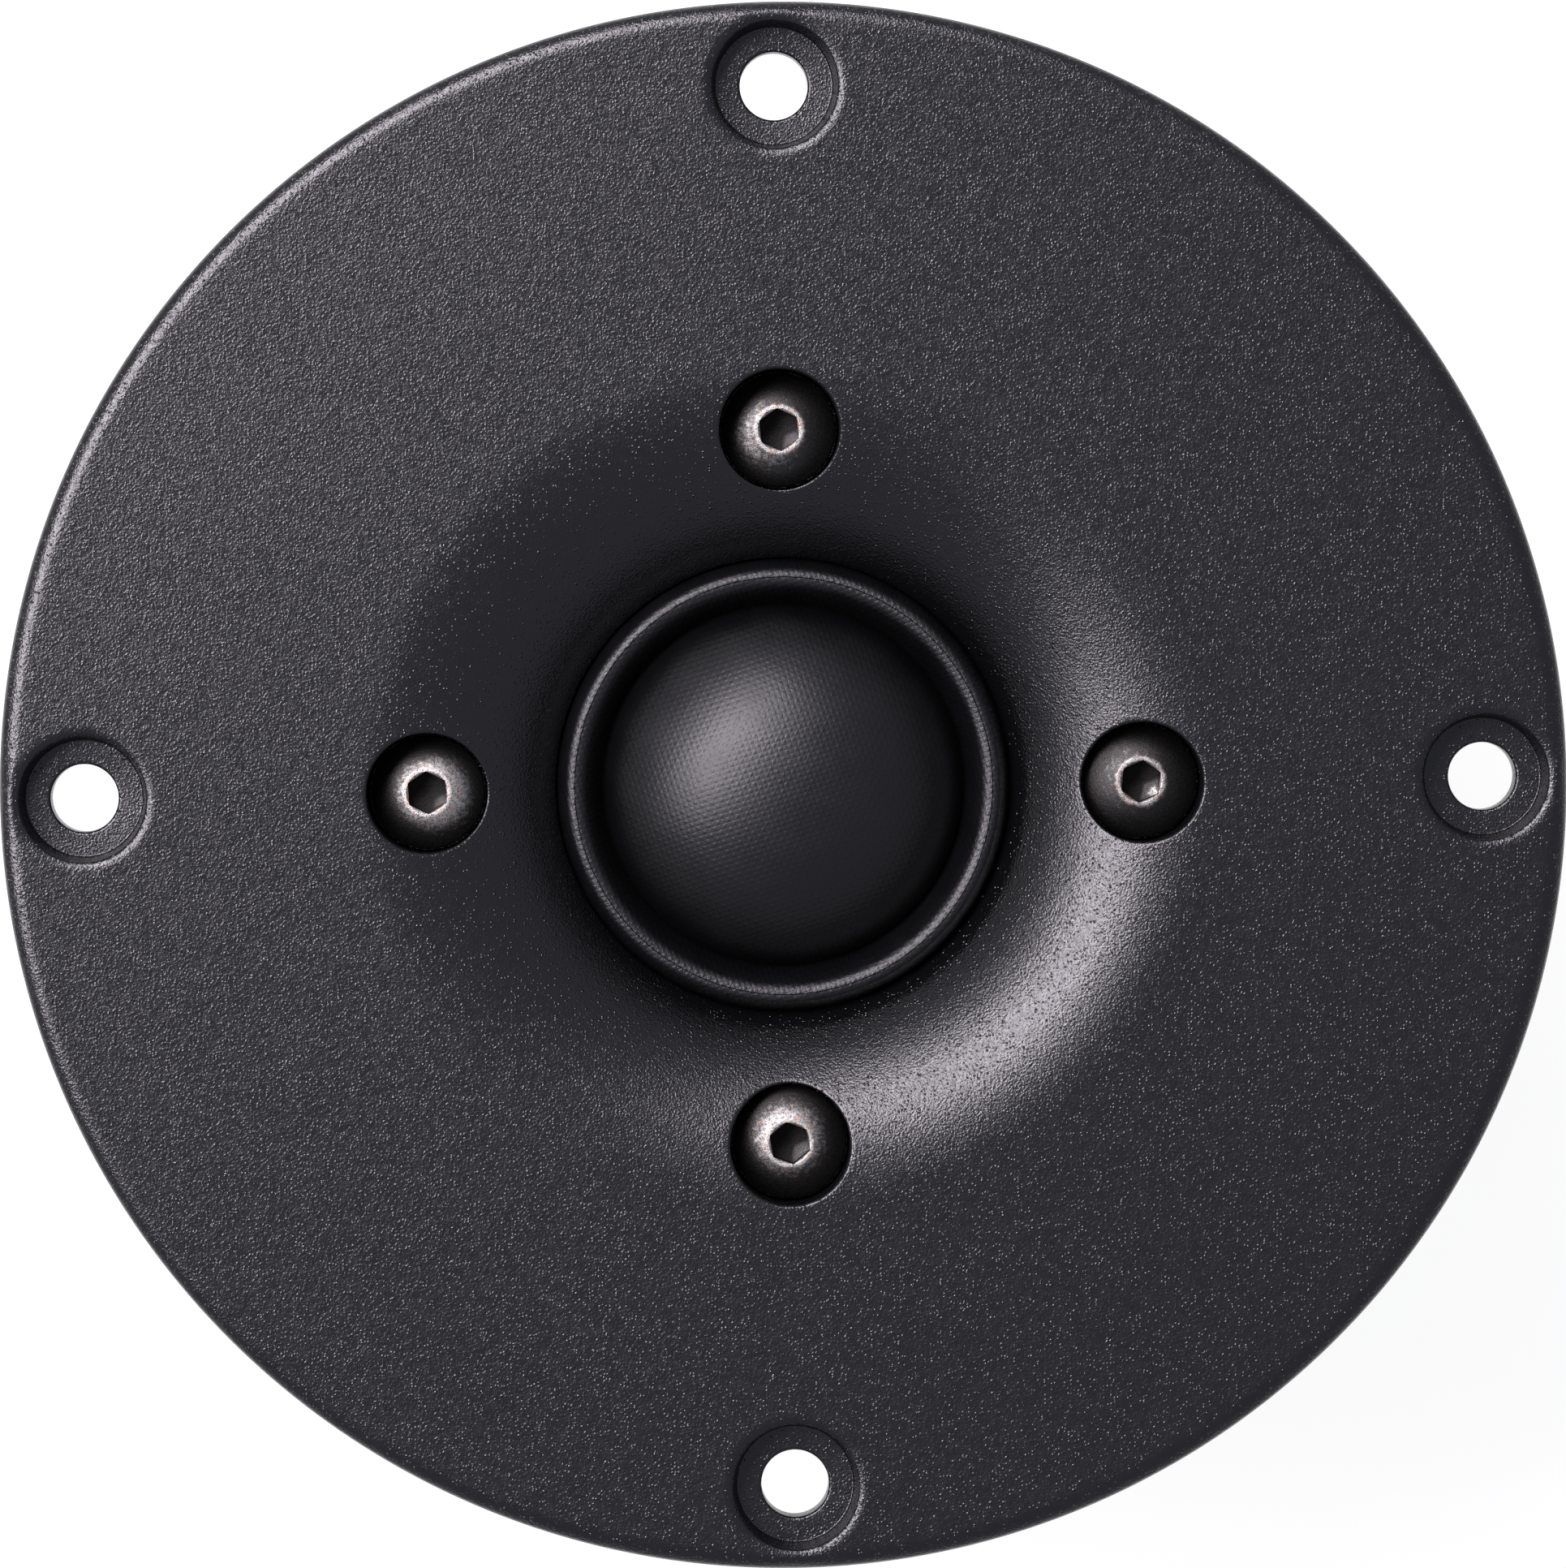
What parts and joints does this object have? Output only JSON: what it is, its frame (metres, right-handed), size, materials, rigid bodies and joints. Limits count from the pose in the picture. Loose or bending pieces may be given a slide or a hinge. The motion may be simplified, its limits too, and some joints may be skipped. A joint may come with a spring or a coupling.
{
  "type": "tweeter",
  "caption": "Flanged soft-dome tweeter: round faceplate with a short waveguide, textile dome on a sprung voice coil, ring magnet motor and rear chamber.",
  "frame": {"origin": "centre of the rear cup's flat bottom, on the acoustic axis", "axes": "+Z along the acoustic axis, out of the front face; +Y up and +X right as seen from the front, with a mounting hole and a faceplate screw on each of +X, +Y, -X and -Y; the terminals point between -X and -Y"},
  "size_m": [0.104, 0.104, 0.046],
  "materials": {
    "powder_coated_casting": "fine-textured black powder coat on cast aluminium",
    "sealing_foam": "closed-cell foam",
    "black_oxide_steel": "black oxide, worn bright around the socket",
    "coated_textile": "finely woven textile with a sticky damping coat",
    "coil_former": "thin rolled aluminium",
    "coil_wire": "enamelled copper-clad wire",
    "black_plastic": "fine moulded grain",
    "tinned_brass": "stamped and lightly tinned",
    "solder": "smooth solder",
    "tinsel_lead": "fine braid",
    "zinc_plated_steel": "zinc plate, turned edges",
    "ferrite": "sintered, ground faces, matte sides",
    "copper_cap": "drawn copper",
    "grey_felt": "pressed felt",
    "damping_foam": "open-cell foam"
  },
  "bodies": {
    "motor": {"faceplate": "powder_coated_casting", "mounting_gasket": "sealing_foam", "faceplate_screw_right": "black_oxide_steel", "faceplate_screw_top": "black_oxide_steel", "faceplate_screw_left": "black_oxide_steel", "faceplate_screw_bottom": "black_oxide_steel", "surround": "coated_textile", "diaphragm_frame": "black_plastic", "terminal_positive": "tinned_brass", "terminal_negative": "tinned_brass", "terminal_rivet_positive": "tinned_brass", "terminal_rivet_negative": "tinned_brass", "solder_joint_positive": "solder", "solder_joint_negative": "solder", "lead_wire_positive": "tinsel_lead", "lead_wire_negative": "tinsel_lead", "top_plate": "zinc_plated_steel", "magnet": "ferrite", "back_plate": "zinc_plated_steel", "pole_piece": "zinc_plated_steel", "shorting_cap": "copper_cap", "pole_damping_pad": "grey_felt", "rear_chamber_cup": "black_plastic", "cup_seal_ring": "sealing_foam", "chamber_damping_foam": "damping_foam"},
    "diaphragm": {"dome": "coated_textile", "voice_coil_former": "coil_former", "voice_coil_winding": "coil_wire"}
  },
  "joints": [
    {"name": "diaphragm_travel", "type": "slide", "parent": "motor", "child": "diaphragm", "axis": [0, 0, 1], "range_m": [-0.0005, 0.0005], "stiffness_N_per_m": 500, "deforming": ["surround", "lead_wire_positive", "lead_wire_negative"]}
  ]
}
